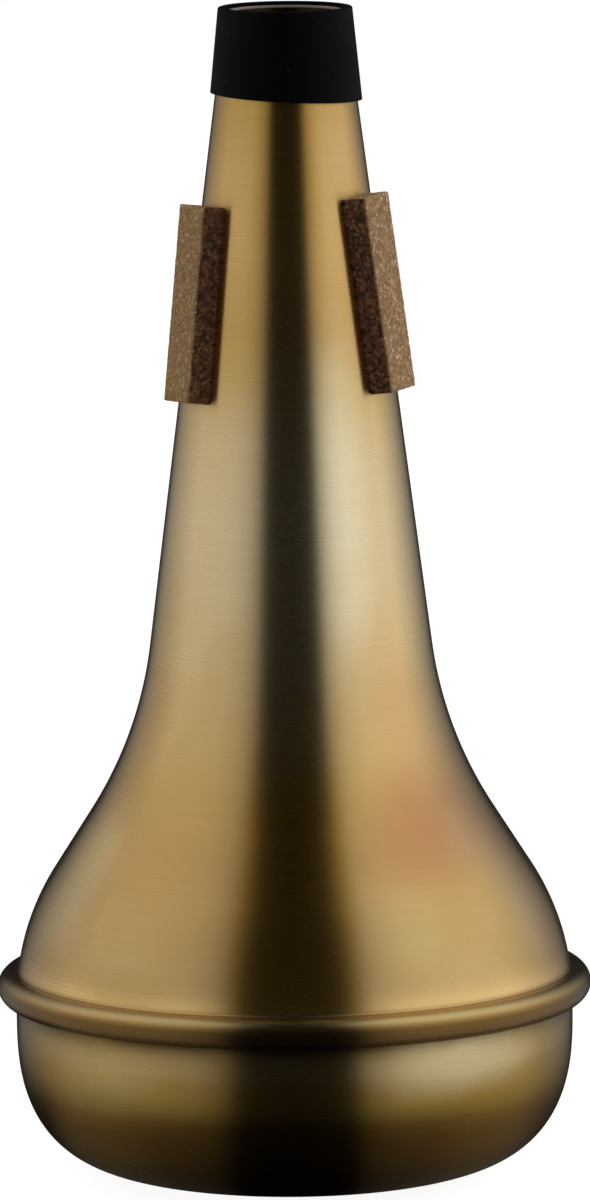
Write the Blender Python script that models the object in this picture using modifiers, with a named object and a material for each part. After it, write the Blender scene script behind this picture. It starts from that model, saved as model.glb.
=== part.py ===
"""Straight mute for a flugelhorn: a spun brass body whose rolled edge holds a spun brass
bottom cup, with a rubber sleeve over the small open end and three glued cork strips.

Metres, +Z up. The origin is the centre of the flat bottom that the mute stands on.
The front of the mute, midway between two corks, faces -Y.
"""
from math import acos, atan2, cos, hypot, pi, radians, sin, tan

import bmesh
import bpy
from mathutils import Matrix, Vector

MM = 0.001
AROUND = 48                     # flats round each turned piece
FIT_GAP = 0.3 * MM              # clearance between two pieces that touch on the real mute
MERGE_DISTANCE = 0.01 * MM      # closes the seam of a turned piece

# Spun brass cup
SHEET = 0.7 * MM                # wall of the body and of the cup
CUP_R = 49.3 * MM
CUP_WIDEST_Z = 27.3 * MM
CUP_FLAT_R = 24.0 * MM          # flat that the mute stands on
CUP_FULLNESS = 2.6              # exponent of the corner curve, 2 would be an ellipse
HOOK_BEND_R = 0.5 * MM          # inside radius of the cup's edge inside the bead
HOOK_END_ANGLE = radians(-45)

# Rolled bead that joins body and cup
BEAD_R = 2.78 * MM              # outside radius of the roll's section
BEAD_RISE = 5.55 * MM           # from the cup's widest height to the bead's middle
BEAD_OFFSET = 0.48 * MM         # the circle that the section follows, outside the cup's radius
BEAD_FILLET = 0.5 * MM          # hollow between shoulder and bead

# Spun brass body, from the bead up: shoulder, straight flank, throat, straight neck
SHOULDER_BEND_R = 44.2 * MM
SHOULDER_OFFSET = 0.04 * MM     # widest circle of the shoulder, outside the cup's radius
SHOULDER_DROP = 3.2 * MM        # its height, below the bead's middle
FLANK_ANGLE = radians(32.6)     # steepest slope of the flare
FLANK_LENGTH = 12.5 * MM
THROAT_BEND_R = 71.9 * MM       # outside radius of the concave throat
NECK_HALF_ANGLE = radians(7.3)
NECK_LENGTH = 111.9 * MM

# Rubber sleeve on the small end, a plain tube that stands a little proud of the metal
SLEEVE_LENGTH = 15.0 * MM       # from the neck's end down to the cut edge, on the axis
SLEEVE_RISE = 0.6 * MM          # from the neck's end up to the sleeve's top
SLEEVE_TOP_WALL = 0.95 * MM
SLEEVE_LOW_WALL = 0.55 * MM
SLEEVE_EDGE = 0.35 * MM         # rounding of its outer top edge
SLEEVE_CUT_ANGLE = radians(3.1) # slant of the lower edge, lower on the right

# Cork strips, glued along the neck
CORK_LENGTH = 34.5 * MM
CORK_WIDTH = 8.8 * MM
CORK_THICK = 3.5 * MM
CORK_LEAN = radians(-2.35)       # how far the strips are off the neck's own line
CORKS = {                       # angle from the front, and middle below the neck's end
    "cork_left": (radians(-61.3), 50.8 * MM),
    "cork_right": (radians(60.6), 49.1 * MM),
    "cork_rear": (radians(180.0), 50.0 * MM),
}

# Straight pieces in each bend of the outlines
THROAT_STEPS = 8
SHOULDER_STEPS = 7
FILLET_STEPS = 3
BEAD_STEPS = 12
HOOK_STEPS = 6
HOOK_BEND_STEPS = 3
CUP_STEPS = 11
SLEEVE_EDGE_STEPS = 3


def step_from(point, distance, angle):
    """The point that lies a distance away in the profile plane, at an angle from +r."""
    return (point[0] + distance * cos(angle), point[1] + distance * sin(angle))


# Middle of the bead's section, centres of the body's two bends, and the neck that follows
BEAD = (CUP_R + BEAD_OFFSET, CUP_WIDEST_Z + BEAD_RISE)
SHOULDER = (CUP_R + SHOULDER_OFFSET - SHOULDER_BEND_R, BEAD[1] - SHOULDER_DROP)
FLANK_LOW = step_from(SHOULDER, SHOULDER_BEND_R, FLANK_ANGLE)
FLANK_TOP = step_from(FLANK_LOW, FLANK_LENGTH, FLANK_ANGLE + pi / 2)
THROAT = step_from(FLANK_TOP, THROAT_BEND_R, FLANK_ANGLE)
NECK_LOW_R, NECK_LOW_Z = step_from(THROAT, -THROAT_BEND_R, NECK_HALF_ANGLE)
NECK_END_Z = NECK_LOW_Z + NECK_LENGTH
NECK_FIT_GAP = FIT_GAP / cos(NECK_HALF_ANGLE)   # the clearance, measured across the axis


def clear_scene():
    for obj in list(bpy.data.objects):
        bpy.data.objects.remove(obj, do_unlink=True)


def make_collection(name):
    collection = bpy.data.collections.new(name)
    bpy.context.scene.collection.children.link(collection)
    return collection


def make_material(name, color, roughness, metallic):
    material = bpy.data.materials.new(name)
    material.use_nodes = True
    shader = material.node_tree.nodes["Principled BSDF"]
    shader.inputs["Base Color"].default_value = (*color, 1.0)
    shader.inputs["Roughness"].default_value = roughness
    shader.inputs["Metallic"].default_value = metallic
    return material


def arc(center, radius, start, end, steps):
    """Points on a circle in the profile plane, both ends included."""
    turns = [start + (end - start) * i / steps for i in range(steps + 1)]
    return [step_from(center, radius, turn) for turn in turns]


def neck_radius(z):
    """Outside radius of the straight neck at height z."""
    return NECK_LOW_R - (z - NECK_LOW_Z) * tan(NECK_HALF_ANGLE)


def body_outline():
    """Outer side of the body, from the neck's end down to the roll's free edge."""
    points = [(neck_radius(NECK_END_Z), NECK_END_Z)]
    points += arc(THROAT, THROAT_BEND_R, pi + NECK_HALF_ANGLE, pi + FLANK_ANGLE, THROAT_STEPS)

    # The fillet's circle touches the shoulder's and the bead's circles from outside
    reach_shoulder = SHOULDER_BEND_R + BEAD_FILLET
    reach_bead = BEAD_R + BEAD_FILLET
    apart = hypot(BEAD[0] - SHOULDER[0], BEAD[1] - SHOULDER[1])
    heading = atan2(BEAD[1] - SHOULDER[1], BEAD[0] - SHOULDER[0])
    turn = acos((reach_shoulder ** 2 + apart ** 2 - reach_bead ** 2) / (2 * reach_shoulder * apart))
    fillet = step_from(SHOULDER, reach_shoulder, heading + turn)
    to_bead = atan2(BEAD[1] - fillet[1], BEAD[0] - fillet[0])
    points += arc(SHOULDER, SHOULDER_BEND_R, FLANK_ANGLE, heading + turn, SHOULDER_STEPS)
    points += arc(fillet, BEAD_FILLET, heading + turn + pi, to_bead + 2 * pi, FILLET_STEPS)[1:]

    # The roll stops where the inner side of its sheet is a clearance away from the cup
    bead_end = -acos((FIT_GAP - BEAD_OFFSET) / (BEAD_R - SHEET))
    points += arc(BEAD, BEAD_R, to_bead + pi, bead_end, BEAD_STEPS)[1:]
    return points


def cup_outline():
    """Outer side of the cup, from the edge hooked inside the bead down to the middle."""
    hook_r = BEAD_R - SHEET - FIT_GAP - SHEET
    bend = (CUP_R + HOOK_BEND_R, BEAD[1] + hook_r - HOOK_BEND_R)
    hook_top_angle = acos((bend[0] - BEAD[0]) / hook_r)
    points = arc(BEAD, hook_r, HOOK_END_ANGLE, hook_top_angle, HOOK_STEPS)
    points += arc(bend, HOOK_BEND_R, pi / 2, pi, HOOK_BEND_STEPS)[1:]

    for i in range(CUP_STEPS + 1):
        side = pi / 2 * i / CUP_STEPS
        outward = cos(side) ** (2 / CUP_FULLNESS)
        downward = sin(side) ** (2 / CUP_FULLNESS)
        points.append((CUP_FLAT_R + (CUP_R - CUP_FLAT_R) * outward,
                       CUP_WIDEST_Z * (1 - downward)))
    points.append((0.0, 0.0))
    return points


def sleeve_outline():
    """Closed section of the sleeve, down its outer side and up inside along the neck."""
    top_z = NECK_END_Z + SLEEVE_RISE
    cut_z = NECK_END_Z - SLEEVE_LENGTH
    top_r = neck_radius(NECK_END_Z) + NECK_FIT_GAP + SLEEVE_TOP_WALL
    cut_r = neck_radius(cut_z) + NECK_FIT_GAP + SLEEVE_LOW_WALL

    # The section reaches past the slanted cut on its low side
    low_z = cut_z - 2 * cut_r * tan(SLEEVE_CUT_ANGLE)
    low_r = top_r + (cut_r - top_r) * (top_z - low_z) / (top_z - cut_z)
    edge = (top_r - SLEEVE_EDGE, top_z - SLEEVE_EDGE)
    points = [(neck_radius(top_z) + NECK_FIT_GAP, top_z)]
    points += arc(edge, SLEEVE_EDGE, pi / 2, 0, SLEEVE_EDGE_STEPS)
    points += [(low_r, low_z), (neck_radius(low_z) + NECK_FIT_GAP, low_z)]
    return points


def turned(name, outline, collection, material, closed=False, wall=0.0):
    """Turn an outline round +Z; a wall thickens it towards the inside."""
    mesh = bpy.data.meshes.new(name)
    edges = [(i, i + 1) for i in range(len(outline) - 1)]
    if closed:
        edges.append((len(outline) - 1, 0))
    mesh.from_pydata([(r, 0.0, z) for r, z in outline], edges, [])
    mesh.materials.append(material)
    obj = bpy.data.objects.new(name, mesh)
    collection.objects.link(obj)
    screw = obj.modifiers.new("turn", "SCREW")
    screw.axis = "Z"
    screw.angle = 2 * pi
    screw.steps = screw.render_steps = AROUND
    screw.use_merge_vertices = True
    screw.merge_threshold = MERGE_DISTANCE
    screw.use_smooth_shade = True
    if wall:
        solidify = obj.modifiers.new("wall", "SOLIDIFY")
        solidify.thickness = wall
        solidify.offset = -1
        solidify.use_even_offset = True
    return obj


def as_cutter(obj):
    obj.hide_render = True
    obj.display_type = "WIRE"
    return obj


def cut(obj, cutter, name):
    boolean = obj.modifiers.new(name, "BOOLEAN")
    boolean.operation = "DIFFERENCE"
    boolean.solver = "EXACT"
    boolean.object = cutter


def box(name, size, collection, material=None):
    """Box with its size in its mesh, centred on its own origin."""
    mesh = bpy.data.meshes.new(name)
    shape = bmesh.new()
    bmesh.ops.create_cube(shape, size=1.0, matrix=Matrix.Diagonal((*size, 1.0)))
    shape.to_mesh(mesh)
    shape.free()
    if material:
        mesh.materials.append(material)
    obj = bpy.data.objects.new(name, mesh)
    collection.objects.link(obj)
    return obj


def neck_cutter(collection):
    """The neck's cone with a clearance round it, which hollows the backs of the corks."""
    mesh = bpy.data.meshes.new("neck_cutter")
    shape = bmesh.new()
    bmesh.ops.create_cone(shape, cap_ends=True, segments=2 * AROUND, depth=NECK_LENGTH,
                          radius1=neck_radius(NECK_LOW_Z) + NECK_FIT_GAP,
                          radius2=neck_radius(NECK_END_Z) + NECK_FIT_GAP,
                          matrix=Matrix.Translation((0, 0, NECK_LOW_Z + NECK_LENGTH / 2)))
    shape.to_mesh(mesh)
    shape.free()
    obj = bpy.data.objects.new("neck_cutter", mesh)
    collection.objects.link(obj)
    return as_cutter(obj)


def make_cork(name, around, below_end, collection, cutter, material):
    """Cork strip along the neck: local X away from the neck, local Z along it."""
    middle_z = NECK_END_Z - below_end
    middle_r = neck_radius(middle_z)
    rear_curve = CORK_WIDTH ** 2 / (8 * neck_radius(middle_z + CORK_LENGTH / 2))
    deep = CORK_THICK + rear_curve + FIT_GAP
    cork = box(name, (deep, CORK_WIDTH, CORK_LENGTH), collection, material)
    outward = Vector((sin(around) * cos(NECK_HALF_ANGLE), -cos(around) * cos(NECK_HALF_ANGLE),
                      sin(NECK_HALF_ANGLE)))
    sideways = Vector((cos(around), sin(around), 0.0))
    along = outward.cross(sideways)
    seat = Vector((middle_r * sin(around), -middle_r * cos(around), middle_z))
    turned_to_neck = Matrix((outward, sideways, along)).transposed().to_4x4()
    center = seat + outward * (FIT_GAP + CORK_THICK - deep / 2)
    lean = Matrix.Rotation(-CORK_LEAN, 4, "X")
    cork.matrix_world = Matrix.Translation(center) @ turned_to_neck @ lean
    cut(cork, cutter, "fit_to_neck")


def slant_sleeve_edge(sleeve, cutters):
    """Cut the sleeve's lower end off on a slant."""
    cut_z = NECK_END_Z - SLEEVE_LENGTH
    wide = 6 * neck_radius(cut_z)
    below = as_cutter(box("sleeve_edge_cutter", (wide, wide, wide), cutters))
    below.matrix_world = (Matrix.Translation((0, 0, cut_z))
                          @ Matrix.Rotation(SLEEVE_CUT_ANGLE, 4, "Y")
                          @ Matrix.Translation((0, 0, -wide / 2)))
    cut(sleeve, below, "slanted_edge")


def build():
    clear_scene()
    parts = make_collection("flugelhorn_straight_mute")
    cutters = make_collection("cutters")
    brass = make_material("brass", (0.62, 0.46, 0.24), 0.32, 1.0)
    cup_brass = make_material("cup_brass", (0.52, 0.41, 0.21), 0.34, 1.0)
    rubber = make_material("rubber", (0.015, 0.015, 0.016), 0.7, 0.0)
    cork_stuff = make_material("cork", (0.42, 0.27, 0.17), 0.9, 0.0)

    turned("body_shell", body_outline(), parts, brass, wall=SHEET)
    turned("bottom_cup", cup_outline(), parts, cup_brass, wall=SHEET)
    sleeve = turned("end_sleeve", sleeve_outline(), parts, rubber, closed=True)
    slant_sleeve_edge(sleeve, cutters)

    cutter = neck_cutter(cutters)
    for name, (around, below_end) in CORKS.items():
        make_cork(name, around, below_end, parts, cutter, cork_stuff)


build()
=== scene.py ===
"""Flugelhorn straight mute of antiqued brass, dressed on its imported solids: a spun body with a
rolled bead, a spun cup, a rubber sleeve and three cork strips."""
from math import acos, atan2, cos, hypot, pi, radians, sin, tan

import bmesh
import bpy
from mathutils import Matrix, Vector


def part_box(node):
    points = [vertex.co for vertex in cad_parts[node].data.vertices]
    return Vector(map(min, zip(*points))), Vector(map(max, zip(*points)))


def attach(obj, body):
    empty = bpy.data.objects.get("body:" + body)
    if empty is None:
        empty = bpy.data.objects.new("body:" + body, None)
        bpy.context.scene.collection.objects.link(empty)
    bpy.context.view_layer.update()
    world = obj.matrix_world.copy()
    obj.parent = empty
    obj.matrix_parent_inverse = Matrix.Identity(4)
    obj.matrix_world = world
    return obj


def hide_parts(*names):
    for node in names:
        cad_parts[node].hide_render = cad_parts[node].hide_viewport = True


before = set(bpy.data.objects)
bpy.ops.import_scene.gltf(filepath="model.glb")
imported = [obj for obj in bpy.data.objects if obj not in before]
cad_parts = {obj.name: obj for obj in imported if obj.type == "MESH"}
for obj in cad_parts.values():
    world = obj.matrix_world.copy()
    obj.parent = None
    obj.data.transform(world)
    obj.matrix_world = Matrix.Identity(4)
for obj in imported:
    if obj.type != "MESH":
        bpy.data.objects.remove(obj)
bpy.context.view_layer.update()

# Camera: a long lens that looks a little down on the mute, rolled by half a degree, so that the
# mute leans left as in the photograph, which is 590 x 1200 pixels.
MM = 0.001
VIEW_DISTANCE = 1800 * MM
VIEW_PITCH = radians(8.3)
VIEW_ROLL = radians(-0.55)
VIEW_OVER_Z = 101.7 * MM        # height on the axis that the camera is raised over
VIEW_AIM = Vector((0.76 * MM, 0.0, 101.22 * MM))
PIXEL = 0.1763 * MM             # of the photograph, at the mute's axis
PHOTO_HEIGHT = 1200
SENSOR = 36.0
camera_data = bpy.data.cameras.new("camera")
camera_data.sensor_width = SENSOR
camera_data.lens = SENSOR * VIEW_DISTANCE / PIXEL / PHOTO_HEIGHT
camera_data.clip_start = 0.05
camera_data.clip_end = 20.0
camera = bpy.data.objects.new("camera", camera_data)
bpy.context.scene.collection.objects.link(camera)
camera_place = Vector((0.0, -VIEW_DISTANCE * cos(VIEW_PITCH),
                       VIEW_OVER_Z + VIEW_DISTANCE * sin(VIEW_PITCH)))
looking = (VIEW_AIM - camera_place).to_track_quat("-Z", "Y").to_matrix().to_4x4()
camera.matrix_world = Matrix.Translation(camera_place) @ looking @ Matrix.Rotation(VIEW_ROLL, 4, "Z")
bpy.context.scene.camera = camera


# Body: one sheet of brass, spun on a lathe to a long cone that flares into a belly, with its
# edge rolled round the cup's edge as a bead. Brushed while it turned, so the fine lines run
# round it, then antiqued and lacquered, which left warm and pale clouds.
SHEET = 0.7 * MM
CUP_R = 49.3 * MM
BEAD_R = 2.78 * MM
BEAD = (CUP_R + 0.48 * MM, 32.85 * MM)
BEAD_FILLET = 0.5 * MM
BEAD_END_ANGLE = radians(-95)
SHOULDER_BEND_R = 44.2 * MM
SHOULDER = (CUP_R + 0.04 * MM - SHOULDER_BEND_R, BEAD[1] - 3.2 * MM)
FLANK_ANGLE = radians(32.6)
FLANK_LENGTH = 12.5 * MM
THROAT_BEND_R = 71.9 * MM
NECK_HALF_ANGLE = radians(7.3)
NECK_END_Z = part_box("body_shell")[1].z


def step_from(point, distance, angle):
    """The point that lies a distance away in the outline's plane, at an angle from +r."""
    return (point[0] + distance * cos(angle), point[1] + distance * sin(angle))


def arc(center, radius, start, end, steps):
    """Points on a circle in the outline's plane, both ends included."""
    return [step_from(center, radius, start + (end - start) * i / steps) for i in range(steps + 1)]


flank_low = step_from(SHOULDER, SHOULDER_BEND_R, FLANK_ANGLE)
flank_top = step_from(flank_low, FLANK_LENGTH, FLANK_ANGLE + pi / 2)
throat = step_from(flank_top, THROAT_BEND_R, FLANK_ANGLE)
neck_low = step_from(throat, -THROAT_BEND_R, NECK_HALF_ANGLE)


def neck_radius(z):
    return neck_low[0] - (z - neck_low[1]) * tan(NECK_HALF_ANGLE)


# The fillet's circle touches the shoulder's and the bead's circles from outside
reach_shoulder = SHOULDER_BEND_R + BEAD_FILLET
reach_bead = BEAD_R + BEAD_FILLET
apart = hypot(BEAD[0] - SHOULDER[0], BEAD[1] - SHOULDER[1])
heading = atan2(BEAD[1] - SHOULDER[1], BEAD[0] - SHOULDER[0])
opening = acos((reach_shoulder ** 2 + apart ** 2 - reach_bead ** 2) / (2 * reach_shoulder * apart))
shoulder_end = heading + opening
fillet = step_from(SHOULDER, reach_shoulder, shoulder_end)
to_bead = atan2(BEAD[1] - fillet[1], BEAD[0] - fillet[0])
hollow = arc(fillet, BEAD_FILLET, shoulder_end + pi, to_bead + 2 * pi, 8)

neck_steps = 30
neck_heights = [NECK_END_Z + (neck_low[1] - NECK_END_Z) * i / neck_steps for i in range(neck_steps)]
body_line = [(neck_radius(z), z) for z in neck_heights]
body_line += arc(throat, THROAT_BEND_R, pi + NECK_HALF_ANGLE, pi + FLANK_ANGLE, 22)
body_line += arc(SHOULDER, SHOULDER_BEND_R, FLANK_ANGLE, shoulder_end, 24)
body_line += hollow[1:]
body_line += arc(BEAD, BEAD_R, to_bead + pi, BEAD_END_ANGLE, 30)[1:]


def spin_outline(name, outline, turn_over=False):
    """Draws an outline from one point by extruding, and spins it round the mute's axis."""
    bpy.ops.object.select_all(action="DESELECT")
    bpy.ops.mesh.primitive_plane_add(size=MM)
    piece = bpy.context.object
    piece.name = name
    bpy.ops.object.mode_set(mode="EDIT")
    bpy.ops.mesh.select_all(action="SELECT")
    bpy.ops.mesh.merge(type="CENTER")
    bpy.ops.transform.translate(value=(outline[0][0], 0.0, outline[0][1]))
    for (from_r, from_z), (to_r, to_z) in zip(outline, outline[1:]):
        move = (to_r - from_r, 0.0, to_z - from_z)
        bpy.ops.mesh.extrude_region_move(TRANSFORM_OT_translate={"value": move})
    bpy.ops.mesh.select_all(action="SELECT")
    bpy.ops.mesh.spin(steps=224, angle=2 * pi, center=(0, 0, 0), axis=(0, 0, 1))
    bpy.ops.mesh.select_all(action="SELECT")
    bpy.ops.mesh.remove_doubles(threshold=0.002 * MM)
    bpy.ops.mesh.normals_make_consistent(inside=turn_over)
    bpy.ops.object.mode_set(mode="OBJECT")
    return piece


def thicken(piece):
    """Gives a spun skin the sheet's wall, towards the inside."""
    wall = piece.modifiers.new("wall", "SOLIDIFY")
    wall.thickness = SHEET
    wall.offset = -1
    wall.use_even_offset = True
    bpy.ops.object.modifier_apply(modifier="wall")
    bpy.ops.object.shade_smooth_by_angle(angle=radians(40))


body = spin_outline("spun_body", body_line)
thicken(body)


class Field:
    """A value or colour that varies over a surface. Sums written on it add their nodes."""

    def __init__(self, tree, socket):
        self.tree = tree
        self.socket = socket

    def node(self, kind, inputs, settings=None, output=0):
        """Any node: its settings or ramp stops first, then its sockets' values or links."""
        made = self.tree.nodes.new(kind)
        settings = dict(settings or {})
        stops = settings.pop("stops", None)
        for name, value in settings.items():
            setattr(made, name, value)
        if stops:
            band = made.color_ramp.elements
            band.remove(band[1])
            band[0].position = stops[0][0]
            band[0].color = (*stops[0][1], 1.0)
            for place, color in stops[1:]:
                band.new(place).color = (*color, 1.0)
        for name, value in inputs.items():
            if isinstance(value, Field):
                self.tree.links.new(value.socket, made.inputs[name])
            else:
                made.inputs[name].default_value = value
        return Field(self.tree, made.outputs[output])

    def math(self, operation, *values):
        return self.node("ShaderNodeMath", dict(enumerate(values)), {"operation": operation})

    def root(self):
        return self.math("SQRT", self)

    def __add__(self, other):
        return self.math("ADD", self, other)

    def __radd__(self, other):
        return self.math("ADD", other, self)

    def __sub__(self, other):
        return self.math("SUBTRACT", self, other)

    def __rsub__(self, other):
        return self.math("SUBTRACT", other, self)

    def __mul__(self, other):
        return self.math("MULTIPLY", self, other)

    def __rmul__(self, other):
        return self.math("MULTIPLY", other, self)

    def __truediv__(self, other):
        return self.math("DIVIDE", self, other)

    def __rtruediv__(self, other):
        return self.math("DIVIDE", other, self)

    def ramp(self, stops):
        """This value's colour on a ramp, whose stops are (place, colour)."""
        return self.node("ShaderNodeValToRGB", {0: self}, {"stops": stops})

    def fade(self, start, end):
        """1 where this value is at start or before it, 0 from end on, smooth between them."""
        return self.node("ShaderNodeMapRange", {"Value": self, "From Min": end, "From Max": start},
                         {"interpolation_type": "SMOOTHSTEP"})

    def tint(self, share, color):
        """This colour, turned towards another one by a share."""
        second = color if isinstance(color, Field) else (*color, 1.0)
        return self.node("ShaderNodeMix", {0: share, 6: self, 7: second},
                         {"data_type": "RGBA"}, output=2)

    def feed(self, shader, socket):
        self.tree.links.new(self.socket, shader.inputs[socket])


def new_finish(name):
    """A material for one finish: its shader, and the place that its patterns read."""
    material = bpy.data.materials.new(name)
    material.use_nodes = True
    tree = material.node_tree
    place = Field(tree, tree.nodes.new("ShaderNodeTexCoord").outputs["Object"])
    return material, tree.nodes["Principled BSDF"], place


def clouds(place, per_metre, detail=3.0):
    """Soft noise, with so many clouds to the metre along X, Y and Z."""
    spread = place.node("ShaderNodeMapping", {"Vector": place, "Scale": per_metre})
    return place.node("ShaderNodeTexNoise", {"Vector": spread, "Scale": 1.0, "Detail": detail})


def split(place):
    """X, Y, Z and the distance from the mute's axis."""
    parts = [place.node("ShaderNodeSeparateXYZ", {0: place}, output=axis) for axis in range(3)]
    return (*parts, (parts[0] * parts[0] + parts[1] * parts[1]).root())


def lathe_lines(place, slope, per_metre, detail):
    """Noise drawn out into lines round the axis; the slope says how they pack along the radius."""
    x, y, z, radius = split(place)
    packed = (z + radius * slope) * per_metre
    drawn = place.node("ShaderNodeCombineXYZ", {0: x * 45.0, 1: y * 45.0, 2: packed})
    return place.node("ShaderNodeTexNoise", {"Vector": drawn, "Scale": 1.0, "Detail": detail})


def blotch(place, center, reach, tall, ragged=0.7):
    """A soft, ragged cloud of patina round a point of the sheet, 1 in its middle."""
    scale = (1 / reach, 1 / reach, 1 / (reach * tall))
    moved = [-value * share for value, share in zip(center, scale)]
    nearby = place.node("ShaderNodeMapping", {"Vector": place, "Location": moved, "Scale": scale})
    away = place.node("ShaderNodeVectorMath", {0: nearby}, {"operation": "LENGTH"}, output=1)
    return (away + (clouds(place, (60.0, 60.0, 60.0)) - 0.5) * ragged).fade(0.1, 1.0)


def on_outline(outline, degrees, z):
    """The point of a turned skin at a height, so many degrees round from the front."""
    r = min(outline, key=lambda point: abs(point[1] - z))[0]
    return (r * sin(radians(degrees)), -r * cos(radians(degrees)), z)


def brush(shader, place, slope, roughness):
    """The lathe's brushing: fine lines in the gloss and the relief, and a stretched highlight."""
    fine = lathe_lines(place, slope, 9000.0, 3.0)
    coarse = lathe_lines(place, slope, 2200.0, 2.0)
    (fine * 0.07 + coarse * 0.03 + (roughness - 0.05)).feed(shader, "Roughness")
    relief = {"Strength": 0.10, "Distance": 0.00004, "Height": fine * 0.7 + coarse * 0.3}
    place.node("ShaderNodeBump", relief).feed(shader, "Normal")
    shader.inputs["Metallic"].default_value = 1.0
    shader.inputs["Anisotropic"].default_value = 0.8
    shader.inputs["Anisotropic Rotation"].default_value = 0.25
    return fine, coarse


brass, shader, place = new_finish("antiqued_brass")
x, y, height, radius = split(place)
# The sheet's tones by height. Its lowest stops, 36.5 to 39 mm, are brightened: a painted highlight along the body's
# lower edge above the bead.
body_tones_and_highlight = (                                    # z, and the metal's colour there
    (36.5, (0.76, 0.51, 0.21)), (37.6, (0.69, 0.46, 0.185)), (39, (0.58, 0.385, 0.155)),
    (41, (0.54, 0.36, 0.148)), (46, (0.555, 0.36, 0.143)), (54, (0.583, 0.366, 0.142)),
    (62, (0.575, 0.355, 0.134)), (70, (0.61, 0.385, 0.137)), (79, (0.64, 0.432, 0.184)),
    (90, (0.622, 0.46, 0.222)), (104, (0.643, 0.495, 0.27)), (118, (0.658, 0.516, 0.296)),
    (131, (0.637, 0.486, 0.258)), (141, (0.565, 0.397, 0.163)), (151, (0.546, 0.34, 0.123)),
    (164, (0.592, 0.378, 0.136)), (178, (0.566, 0.368, 0.138)), (188, (0.50, 0.315, 0.10)))
tone = (height / NECK_END_Z).ramp([(z * MM / NECK_END_Z, color) for z, color in body_tones_and_highlight])
drift = clouds(place, (28.0, 28.0, 16.0))
tone = tone.tint(drift.fade(0.36, 0.46) * 0.25, (0.50, 0.33, 0.13))
tone = tone.tint(drift.fade(0.64, 0.54) * 0.25, (0.66, 0.46, 0.22))
body_blotches = (                                 # degrees round, z, reach, height to width
    (48, 65, 21, 0.8, 0.8, (0.49, 0.24, 0.11)),   # a warm blush across the belly's right
    (29, 61, 12, 0.7, 0.3, (0.50, 0.26, 0.11)),
    (43, 87, 11, 1.9, 0.6, (0.66, 0.38, 0.18)),   # reddish, on the throat's right
    (26, 48, 12, 0.7, 0.5, (0.58, 0.44, 0.18)),   # olive, over the bead on the right
    (64, 55, 16, 1.2, 0.7, (0.72, 0.49, 0.22)),   # pale, at the belly's right edge
    (23, 121, 9, 5.0, 0.62, (0.86, 0.79, 0.54)),  # a pale streak, on the neck's right
    (48, 182, 9, 1.2, 0.6, (0.58, 0.37, 0.16)),   # warm, under the sleeve
    (-28, 152, 9, 1.8, 0.5, (0.52, 0.33, 0.09)),  # yellow, on the neck's left
    (-67, 59, 15, 1.0, 0.8, (0.86, 0.65, 0.31)),  # pale, on the belly's left
    (-62, 85, 9, 1.6, 0.6, (0.60, 0.37, 0.15)),   # warm, on the throat's left
    (-64, 101, 11, 1.4, 0.5, (0.58, 0.39, 0.16)),
    (-67, 50, 14, 0.8, 0.4, (0.85, 0.70, 0.40)),  # pale, over the bead on both sides
    (68, 50, 12, 1.0, 0.3, (0.63, 0.50, 0.33)),
    (72, 67, 20, 1.6, 0.3, (0.48, 0.34, 0.24)),   # greyish, at the belly's right edge
    (-38, 38, 16, 0.35, 0.4, (0.42, 0.26, 0.09)),
    (177, 70, 20, 1.0, 0.6, (0.50, 0.27, 0.10)),  # warm, behind
    (-153, 124, 14, 1.6, 0.5, (0.80, 0.70, 0.44)))
for degrees, z, reach, tall, share, color in body_blotches:
    center = on_outline(body_line, degrees, z * MM)
    tone = tone.tint(blotch(place, center, reach * MM, tall) * share, color)

# Deeper gold along the front and the back, on the belly and under the sleeve: a painted tint of the dark reflection
# that runs down there
aside = (x / radius).math("ABSOLUTE", x / radius)
belly_painted_reflection = aside.fade(0.18, 0.30) * height.fade(66 * MM, 84 * MM)
neck_painted_reflection = aside.fade(0.28, 0.46) * height.fade(178 * MM, 150 * MM)
tone = tone.tint(belly_painted_reflection * 0.7 + neck_painted_reflection * 0.45, (0.52, 0.28, 0.03))

# The bead has its own tones, in bands by height: a painted highlight across its upper face,
# painted shade round its middle and at its foot.
bead_light_and_shade = (
    (30.2, (0.28, 0.17, 0.06)), (31.1, (0.40, 0.24, 0.085)), (31.6, (0.44, 0.265, 0.095)),
    (31.9, (0.34, 0.20, 0.07)), (32.4, (0.21, 0.12, 0.04)), (32.9, (0.14, 0.08, 0.024)),
    (33.3, (0.16, 0.092, 0.028)), (33.8, (0.27, 0.165, 0.055)), (34.2, (0.43, 0.28, 0.105)),
    (34.6, (0.55, 0.40, 0.175)), (35.0, (0.53, 0.385, 0.17)), (35.35, (0.46, 0.305, 0.115)),
    (35.8, (0.60, 0.40, 0.16)))
bead_low, bead_high = bead_light_and_shade[0][0] * MM, bead_light_and_shade[-1][0] * MM
up_bead = (height - bead_low) / (bead_high - bead_low)
bead_painted_light = up_bead.ramp([((z * MM - bead_low) / (bead_high - bead_low), color) for z, color in bead_light_and_shade])
tone = tone.tint(height.fade(35.8 * MM, 36.5 * MM), bead_painted_light)
# Painted shade: the hollow between the belly and the bead is tinted a little deeper brown.
hollow_r, hollow_z = hollow[4]
off_hollow = ((radius - hollow_r) * (radius - hollow_r) + (height - hollow_z) * (height - hollow_z))
hollow_painted_shade = off_hollow.root().fade(0.3 * MM, 0.8 * MM)
tone = tone.tint(hollow_painted_shade * 0.12, (0.16, 0.085, 0.035))
fine, coarse = brush(shader, place, -1.0, 0.27)
tone = tone.tint((fine - 0.5) * 0.20 + (coarse - 0.5) * 0.08 + 0.06, (0.20, 0.12, 0.05))
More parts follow.
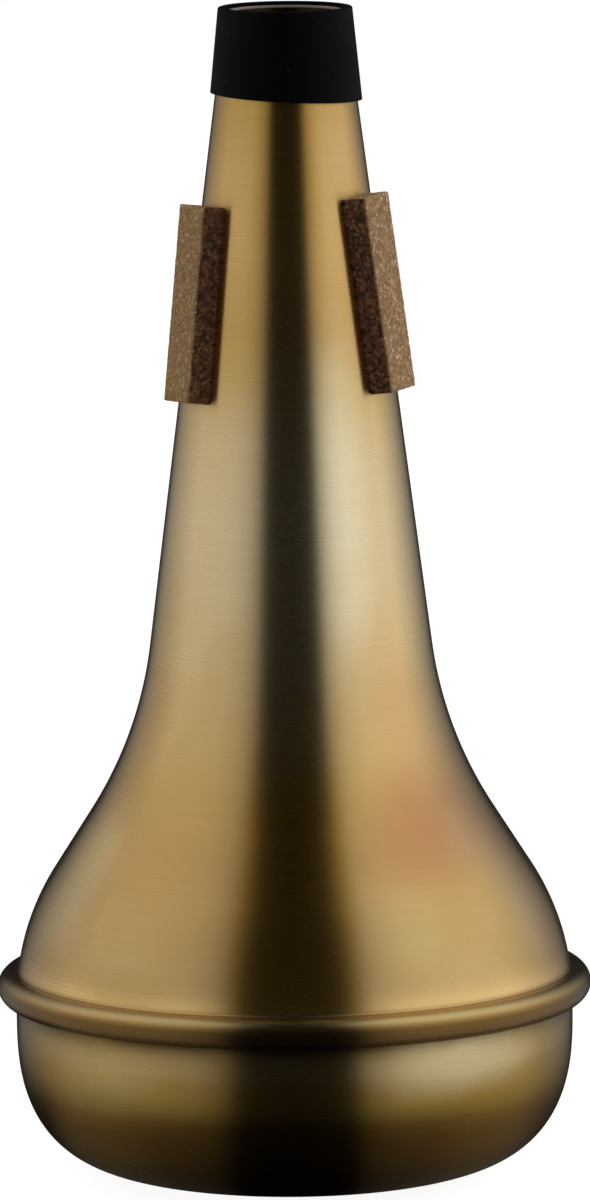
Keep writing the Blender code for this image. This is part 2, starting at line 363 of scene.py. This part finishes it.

# Inside the neck the metal is painted dark: painted shade in the bore.
# Its very end is painted pale and not metallic: a painted highlight on the rim.
across = radius + (height - NECK_END_Z) * tan(NECK_HALF_ANGLE)
inside = across.fade(10.1 * MM, 10.4 * MM)
rim_painted_highlight = inside * (NECK_END_Z - height).fade(0.3 * MM, 0.55 * MM)
tone = tone.tint(inside * 0.6, (0.10, 0.06, 0.02)).tint(rim_painted_highlight, (0.55, 0.54, 0.50))
(1.0 - rim_painted_highlight).feed(shader, "Metallic")
tone.feed(shader, "Base Color")
body.data.materials.append(brass)
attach(body, "root")
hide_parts("body_shell")


# Cup: a bowl spun from the same sheet, with a small flat to stand on. Its edge hooks outwards
# inside the bead, which holds it. Brushed too, and antiqued. Just under the bead, and low on its front and back, it is
# painted deep brown: painted shade.
CUP_WIDEST_Z = 27.3 * MM
CUP_FLAT_R = 24.0 * MM
CUP_FULLNESS = 2.6
HOOK_BEND_R = 0.5 * MM
HOOK_GAP = 0.3 * MM
hook_r = BEAD_R - 2 * SHEET - HOOK_GAP
hook_bend = (CUP_R + HOOK_BEND_R, BEAD[1] + hook_r - HOOK_BEND_R)
hook_top_angle = acos((hook_bend[0] - BEAD[0]) / hook_r)
cup_line = arc(BEAD, hook_r, radians(-45), hook_top_angle, 10)
cup_line += arc(hook_bend, HOOK_BEND_R, pi / 2, pi, 5)[1:]
cup_steps = 44
for step in range(cup_steps + 1):
    side = pi / 2 * step / cup_steps
    outward = cos(side) ** (2 / CUP_FULLNESS)
    downward = sin(side) ** (2 / CUP_FULLNESS)
    cup_line.append((CUP_FLAT_R + (CUP_R - CUP_FLAT_R) * outward, CUP_WIDEST_Z * (1 - downward)))
cup_line += [(CUP_FLAT_R * share, 0.0) for share in (0.75, 0.5, 0.25, 0.0)]
cup = spin_outline("spun_cup", cup_line, turn_over=True)
thicken(cup)

dark_brass, shader, place = new_finish("antiqued_brass_dark")
x, y, height, radius = split(place)
# z, and the metal's colour there; the stops from 28 mm up fall to near black: painted shade in the crevice under the
# bead.
cup_tones_and_shade = ((0, (0.45, 0.28, 0.09)), (9, (0.60, 0.33, 0.085)), (12.5, (0.49, 0.262, 0.062)),
             (15.8, (0.49, 0.265, 0.058)),
             (17.0, (0.50, 0.32, 0.07)), (19, (0.49, 0.31, 0.068)), (23, (0.43, 0.268, 0.079)),
             (25, (0.45, 0.305, 0.118)), (27, (0.40, 0.275, 0.11)), (28, (0.32, 0.22, 0.085)),
             (29, (0.20, 0.137, 0.052)), (29.7, (0.09, 0.06, 0.02)), (30.3, (0.045, 0.027, 0.009)))
tone = (height / BEAD[1]).ramp([(z * MM / BEAD[1], color) for z, color in cup_tones_and_shade])
drift = clouds(place, (26.0, 26.0, 40.0))
tone = tone.tint(drift.fade(0.36, 0.46) * 0.25, (0.40, 0.25, 0.07))
# The first two patches, pale under the bead on the right and left, are painted reflections.
for degrees, z, reach, tall, share, color in (
        (35, 25.5, 26, 0.28, 0.65, (0.70, 0.59, 0.34)),     # a pale patch under the bead, right
        (-42, 22.0, 16, 0.5, 0.5, (0.62, 0.48, 0.20)),     # and a weaker one, left
        (-74, 20.0, 13, 1.2, 0.8, (0.29, 0.17, 0.02))):    # warm, at the left edge
    center = on_outline(cup_line, degrees, z * MM)
    tone = tone.tint(blotch(place, center, reach * MM, tall) * share, color)
# Painted shade: low on the cup, its front and back turn deep brown, where the metal mirrors the dark in front and
# behind.
front_and_back_painted_shade = (x / radius).math("ABSOLUTE", x / radius).fade(0.45, 0.75)
tone = tone.tint(front_and_back_painted_shade * height.fade(14.5 * MM, 20 * MM) * 0.55, (0.16, 0.08, 0.02))
fine, coarse = brush(shader, place, 1.0, 0.28)
tone = tone.tint((fine - 0.5) * 0.20 + (coarse - 0.5) * 0.15 + 0.06, (0.20, 0.12, 0.05))
tone.feed(shader, "Base Color")
cup.data.materials.append(dark_brass)
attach(cup, "root")
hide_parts("bottom_cup")


# Sleeve: a piece of black rubber tube pushed over the neck's end, which it overtops a little.
# It was cut by hand, so its lower edge slants.
SLEEVE_TOP_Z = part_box("end_sleeve")[1].z
SLEEVE_CUT_Z = NECK_END_Z - 15.0 * MM
SLEEVE_TOP_R = neck_radius(NECK_END_Z) + 1.25 * MM
SLEEVE_LOW_R = neck_radius(SLEEVE_CUT_Z) + 0.85 * MM
SLEEVE_CUT_ANGLE = radians(3.1)
SNUG = 0.05 * MM
sleeve_low_z = SLEEVE_CUT_Z - 3 * MM
sleeve_low_r = SLEEVE_LOW_R + (SLEEVE_LOW_R - SLEEVE_TOP_R) * 3 * MM / (SLEEVE_TOP_Z - SLEEVE_CUT_Z)
sleeve_edge = (SLEEVE_TOP_R - 0.35 * MM, SLEEVE_TOP_Z - 0.35 * MM)
sleeve_line = [(neck_radius(SLEEVE_TOP_Z) + SNUG, SLEEVE_TOP_Z - 0.1 * MM)]
sleeve_line.append((neck_radius(SLEEVE_TOP_Z) + SNUG + 0.1 * MM, SLEEVE_TOP_Z))
sleeve_line += arc(sleeve_edge, 0.35 * MM, pi / 2, 0, 8)
sleeve_line += [(sleeve_low_r, sleeve_low_z), (neck_radius(sleeve_low_z) + SNUG, sleeve_low_z)]
sleeve_line.append(sleeve_line[0])
sleeve = spin_outline("rubber_sleeve", sleeve_line)
bpy.ops.object.mode_set(mode="EDIT")
bpy.ops.mesh.select_all(action="SELECT")
bpy.ops.mesh.bisect(plane_co=(0, 0, SLEEVE_CUT_Z), plane_no=(sin(SLEEVE_CUT_ANGLE), 0, cos(SLEEVE_CUT_ANGLE)),
                    clear_inner=True)
bpy.ops.mesh.select_all(action="DESELECT")
rings = bmesh.from_edit_mesh(sleeve.data)
for edge in rings.edges:
    edge.select = edge.is_boundary
bmesh.update_edit_mesh(sleeve.data)
bpy.ops.mesh.bridge_edge_loops()
bpy.ops.object.mode_set(mode="OBJECT")
bpy.ops.object.shade_smooth_by_angle(angle=radians(40))

rubber, shader, place = new_finish("black_rubber")
grain = clouds(place, (2600.0, 2600.0, 2600.0), 4.0)
mottle = clouds(place, (260.0, 260.0, 260.0))
dust = clouds(place, (900.0, 900.0, 900.0), 2.0).fade(0.74, 0.68)
tone = mottle.ramp([(0.3, (0.0004, 0.0004, 0.0004)), (0.75, (0.0015, 0.0015, 0.0015))])
tone.tint(dust * 0.12, (0.06, 0.06, 0.06)).feed(shader, "Base Color")
(0.50 + mottle * 0.25).feed(shader, "Roughness")
shader.inputs["Specular IOR Level"].default_value = 0.06
place.node("ShaderNodeBump", {"Strength": 0.35, "Distance": 0.0001, "Height": grain + mottle}).feed(shader, "Normal")
sleeve.data.materials.append(rubber)
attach(sleeve, "root")
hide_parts("end_sleeve")


# Corks: three strips cut from granulated cork sheet and glued along the neck with contact
# cement. Their outer faces and ends keep the cork's pale tone; their long cut sides are painted deep brown, as painted
# shade.
CORK_SIZE = (3.5 * MM, 8.8 * MM, 34.5 * MM)
CORK_GAP = 0.3 * MM
CORK_LEAN = radians(-2.35)
CORK_SUNK = 0.9 * MM
corks = (("cork_left", radians(-61.3), 50.8 * MM), ("cork_right", radians(60.6), 49.1 * MM),
         ("cork_rear", pi, 50.0 * MM))
granulated, shader, place = new_finish("granulated_cork")
granules = place.node("ShaderNodeTexVoronoi", {"Vector": place, "Scale": 1700.0}, output=1)
grain = place.node("ShaderNodeSeparateColor", {0: granules})
rims = place.node("ShaderNodeTexVoronoi", {"Vector": place, "Scale": 1700.0},
                  {"feature": "DISTANCE_TO_EDGE"}).fade(0.02, 0.16)
pits = clouds(place, (2600.0, 2600.0, 2600.0), 5.0)
tone = grain.ramp([(0.0, (0.34, 0.19, 0.08)), (0.3, (0.46, 0.275, 0.125)), (0.75, (0.61, 0.38, 0.19)),
                   (1.0, (0.86, 0.60, 0.34))])
tone = tone.tint(split(place)[0].fade(-5 * MM, 5 * MM) * 0.3, (0.52, 0.31, 0.06))
tone = tone.tint(pits.fade(0.42, 0.5) * 0.6, (0.22, 0.12, 0.06))
tone = tone.tint(rims * 0.35, (0.22, 0.12, 0.06))
under_face = Field(place.tree, place.tree.nodes.new("ShaderNodeAttribute").outputs["Fac"])
under_face.socket.node.attribute_name = "under_face"
# Painted shade: under the outer face, the long cut sides turn to a deep brown copy of the cork's tone, with dark grain;
# the ends are left out.
side_painted_shade = under_face.fade(0.45 * MM, 0.15 * MM)
shaded_cork_tone = place.node("ShaderNodeVectorMath", {0: tone, 1: (0.37, 0.24, 0.17)}, {"operation": "MULTIPLY"})
shaded_cork_tone = shaded_cork_tone.tint(grain.fade(0.2, 0.4) * 0.7, (0.02, 0.008, 0.005))
shaded_cork_tone = shaded_cork_tone.tint((1.0 - grain).fade(0.12, 0.3) * 0.4, (0.36, 0.20, 0.12))
tone.tint(side_painted_shade, shaded_cork_tone).feed(shader, "Base Color")
(0.80 + pits * 0.15).feed(shader, "Roughness")
place.node("ShaderNodeBump", {"Strength": 0.6, "Distance": 0.0003, "Height": pits + grain * 0.5}).feed(shader, "Normal")

crumble = bpy.data.textures.new("crumble", "CLOUDS")
crumble.noise_scale = 0.7 * MM
crumble.noise_depth = 2
bpy.ops.object.select_all(action="DESELECT")
bpy.ops.mesh.primitive_cone_add(vertices=192, radius1=neck_radius(neck_low[1]), radius2=neck_radius(NECK_END_Z),
                                depth=NECK_END_Z - neck_low[1], location=(0, 0, (NECK_END_Z + neck_low[1]) / 2))
neck_form = bpy.context.object
bpy.ops.object.transform_apply(location=True, rotation=True, scale=True)
for node, around, below_end in corks:
    middle_z = NECK_END_Z - below_end
    outward = Vector((sin(around) * cos(NECK_HALF_ANGLE), -cos(around) * cos(NECK_HALF_ANGLE),
                      sin(NECK_HALF_ANGLE)))
    sideways = Vector((cos(around), sin(around), 0.0))
    turned = Matrix((outward, sideways, outward.cross(sideways))).transposed().to_4x4()
    seat = Vector((neck_radius(middle_z) * sin(around), -neck_radius(middle_z) * cos(around), middle_z))
    bpy.ops.object.select_all(action="DESELECT")
    deep = CORK_SIZE[0] + CORK_SUNK + CORK_GAP
    bpy.ops.mesh.primitive_cube_add(size=1.0, scale=(deep, *CORK_SIZE[1:]))
    strip = bpy.context.object
    strip.name = node + "_strip"
    bpy.ops.object.transform_apply(location=True, rotation=True, scale=True)
    grid = strip.modifiers.new("grid", "REMESH")
    grid.mode = "VOXEL"
    grid.voxel_size = 0.3 * MM
    bpy.ops.object.modifier_apply(modifier="grid")
    center = seat + outward * (CORK_GAP + CORK_SIZE[0] - deep / 2)
    turned = turned @ Matrix.Rotation(-CORK_LEAN, 4, "X")
    lengthwise = turned @ Vector((0.0, 0.0, 1.0))
    strip.matrix_world = Matrix.Translation(center) @ turned
    bpy.ops.object.transform_apply(location=True, rotation=True, scale=True)
    rough = strip.modifiers.new("rough", "DISPLACE")
    rough.texture = crumble
    rough.texture_coords = "LOCAL"
    rough.strength = 0.15 * MM
    bpy.ops.object.modifier_apply(modifier="rough")
    seated = strip.modifiers.new("seated", "BOOLEAN")
    seated.object = neck_form
    bpy.ops.object.modifier_apply(modifier="seated")
    bpy.ops.object.shade_smooth_by_angle(angle=radians(40))
    under_face = strip.data.attributes.new("under_face", "FLOAT", "POINT")
    for vertex, depth in zip(strip.data.vertices, under_face.data):
        from_end = CORK_SIZE[2] / 2 - abs((vertex.co - center).dot(lengthwise))
        under = CORK_GAP + CORK_SIZE[0] - (vertex.co - seat).dot(outward)
        depth.value = under if from_end > 0.15 * MM else 0.0
    strip.data.materials.clear()
    strip.data.materials.append(granulated)
    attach(strip, "root")
    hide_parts(node)
bpy.data.objects.remove(neck_form)


# Studio: a pale floor under a white surround. A black net round the set, seen only by
# reflections and soft light, leaves two tall windows of light at the sides.
TENT_R = 2.6
FLOOR_Z = -0.8 * MM
FLOOR_NET_Z = -0.4 * MM


def seen_by_eye(tree):
    """1 for the rays that show the background: camera, glossy and transmission."""
    path = tree.nodes.new("ShaderNodeLightPath")
    rays = [Field(tree, path.outputs[name]) for name in
            ("Is Camera Ray", "Is Glossy Ray", "Is Transmission Ray")]
    return rays[0].math("MAXIMUM", rays[0].math("MAXIMUM", rays[0], rays[1]), rays[2])


bpy.ops.object.select_all(action="DESELECT")
bpy.ops.mesh.primitive_circle_add(vertices=96, radius=8.0, fill_type="NGON", location=(0, 0, FLOOR_Z))
floor = bpy.context.object
floor.name = "floor"
bpy.ops.object.transform_apply(location=True, rotation=True, scale=True)
pale, shader, place = new_finish("pale_floor")
shader.inputs["Base Color"].default_value = (0.36, 0.36, 0.355, 1.0)
shader.inputs["Roughness"].default_value = 1.0
shader.inputs["Specular IOR Level"].default_value = 0.0
shader.inputs["Emission Color"].default_value = (1.0, 1.0, 1.0, 1.0)
(seen_by_eye(pale.node_tree) * 0.93).feed(shader, "Emission Strength")
floor.data.materials.append(pale)

world = bpy.data.worlds.new("surround")
bpy.context.scene.world = world
world.use_nodes = True
background = world.node_tree.nodes["Background"]
background.inputs["Color"].default_value = (1.0, 1.0, 1.0, 1.0)
(seen_by_eye(world.node_tree) * 0.15 + 0.85).feed(background, "Strength")

net = bpy.data.materials.new("black_net")
net.use_nodes = True
tree = net.node_tree
place = Field(tree, tree.nodes.new("ShaderNodeTexCoord").outputs["Object"])
x, y, height, radius = split(place)
narrowed = 1.0 - height * height / TENT_R ** 2 * 0.25
widened = 1.0 - 15 * MM / radius.math("MAXIMUM", radius, 50 * MM)
turn = x.math("ARCTAN2", x, 0.0 - y) * narrowed / widened / (2 * pi) + 0.5
left_window = ((10, 0.026), (19, 0.026), (22, 0.05), (24.5, 0.12), (27, 0.26), (31, 0.40),
               (40, 0.60), (55, 0.73), (75, 0.77), (100, 0.77), (120, 0.57), (140, 0.36),
               (157, 0.14), (163, 0.015))
right_window = ((10, 0.026), (19, 0.026), (22, 0.055), (24.5, 0.16), (27, 0.34), (31, 0.52),
                (40, 0.78), (55, 0.95), (75, 1.0), (100, 1.0), (120, 0.68), (140, 0.35),
                (157, 0.12), (163, 0.02))
stops = [(0.5 - degree / 360, [light] * 3) for degree, light in reversed(left_window)]
stops += [(0.5 + degree / 360, [light] * 3) for degree, light in right_window]
light = turn.ramp(stops)
# Painted shadow: near the mute the net on the floor turns black, standing for the mute's own shade on the floor as its
# metal mirrors it.
mirrored_floor_shadow = (radius + height).fade(30 * MM, 200 * MM)
beside = x.math("ABSOLUTE", x) / TENT_R
up = height / TENT_R
overhead = beside.fade(0.20, 0.30) * (up.fade(0.6, 0.3) * 0.25 + up.fade(0.97, 0.88) * 0.6)
close_by = x.math("ABSOLUTE", x).fade(65 * MM, 100 * MM) * y.fade(15 * MM, -15 * MM) * radius.fade(0.3, 0.6)
openness = light.node("ShaderNodeRGBToBW", {0: light}) * (1.0 - mirrored_floor_shadow * 0.95) * (1.0 - overhead)
openness = openness * (1.0 - close_by * (x.fade(-10 * MM, 10 * MM) * 0.55 + 0.35))
clear = tree.nodes.new("ShaderNodeBsdfTransparent")
black = tree.nodes.new("ShaderNodeBsdfDiffuse")
black.inputs["Color"].default_value = (0.0, 0.0, 0.0, 1.0)
mesh_of_net = tree.nodes.new("ShaderNodeMixShader")
openness.feed(mesh_of_net, 0)
tree.links.new(black.outputs[0], mesh_of_net.inputs[1])
tree.links.new(clear.outputs[0], mesh_of_net.inputs[2])
tree.links.new(mesh_of_net.outputs[0], tree.nodes["Material Output"].inputs["Surface"])

bpy.ops.object.select_all(action="DESELECT")
bpy.ops.mesh.primitive_uv_sphere_add(segments=96, ring_count=48, radius=TENT_R)
tent = bpy.context.object
tent.name = "tent"
bpy.ops.object.mode_set(mode="EDIT")
bpy.ops.mesh.select_all(action="SELECT")
bpy.ops.mesh.bisect(plane_co=(0, 0, FLOOR_NET_Z), plane_no=(0, 0, 1), clear_inner=True)
bpy.ops.object.mode_set(mode="OBJECT")
bpy.ops.object.select_all(action="DESELECT")
bpy.ops.mesh.primitive_circle_add(vertices=96, radius=TENT_R, fill_type="NGON", location=(0, 0, FLOOR_NET_Z))
floor_net = bpy.context.object
floor_net.name = "floor_net"
bpy.ops.object.transform_apply(location=True, rotation=True, scale=True)
for stage_piece in (tent, floor_net):
    stage_piece.data.materials.append(net)
    stage_piece.visible_camera = False
    stage_piece.visible_transmission = False
floor_net.visible_diffuse = False
floor_net.visible_shadow = False

for name, side, power in (("soft_left", -1, 3.0), ("soft_right", 1, 8.0)):
    lamp = bpy.data.lights.new(name, "AREA")
    lamp.shape = "RECTANGLE"
    lamp.size = 1.2
    lamp.size_y = 1.8
    lamp.energy = power
    light = bpy.data.objects.new(name, lamp)
    bpy.context.scene.collection.objects.link(light)
    light.location = (side * 1.5, 0.3, 0.7)
    light.rotation_euler = (-light.location).to_track_quat("-Z", "Y").to_euler()
    light.visible_glossy = False

bpy.context.scene.view_settings.view_transform = "Standard"
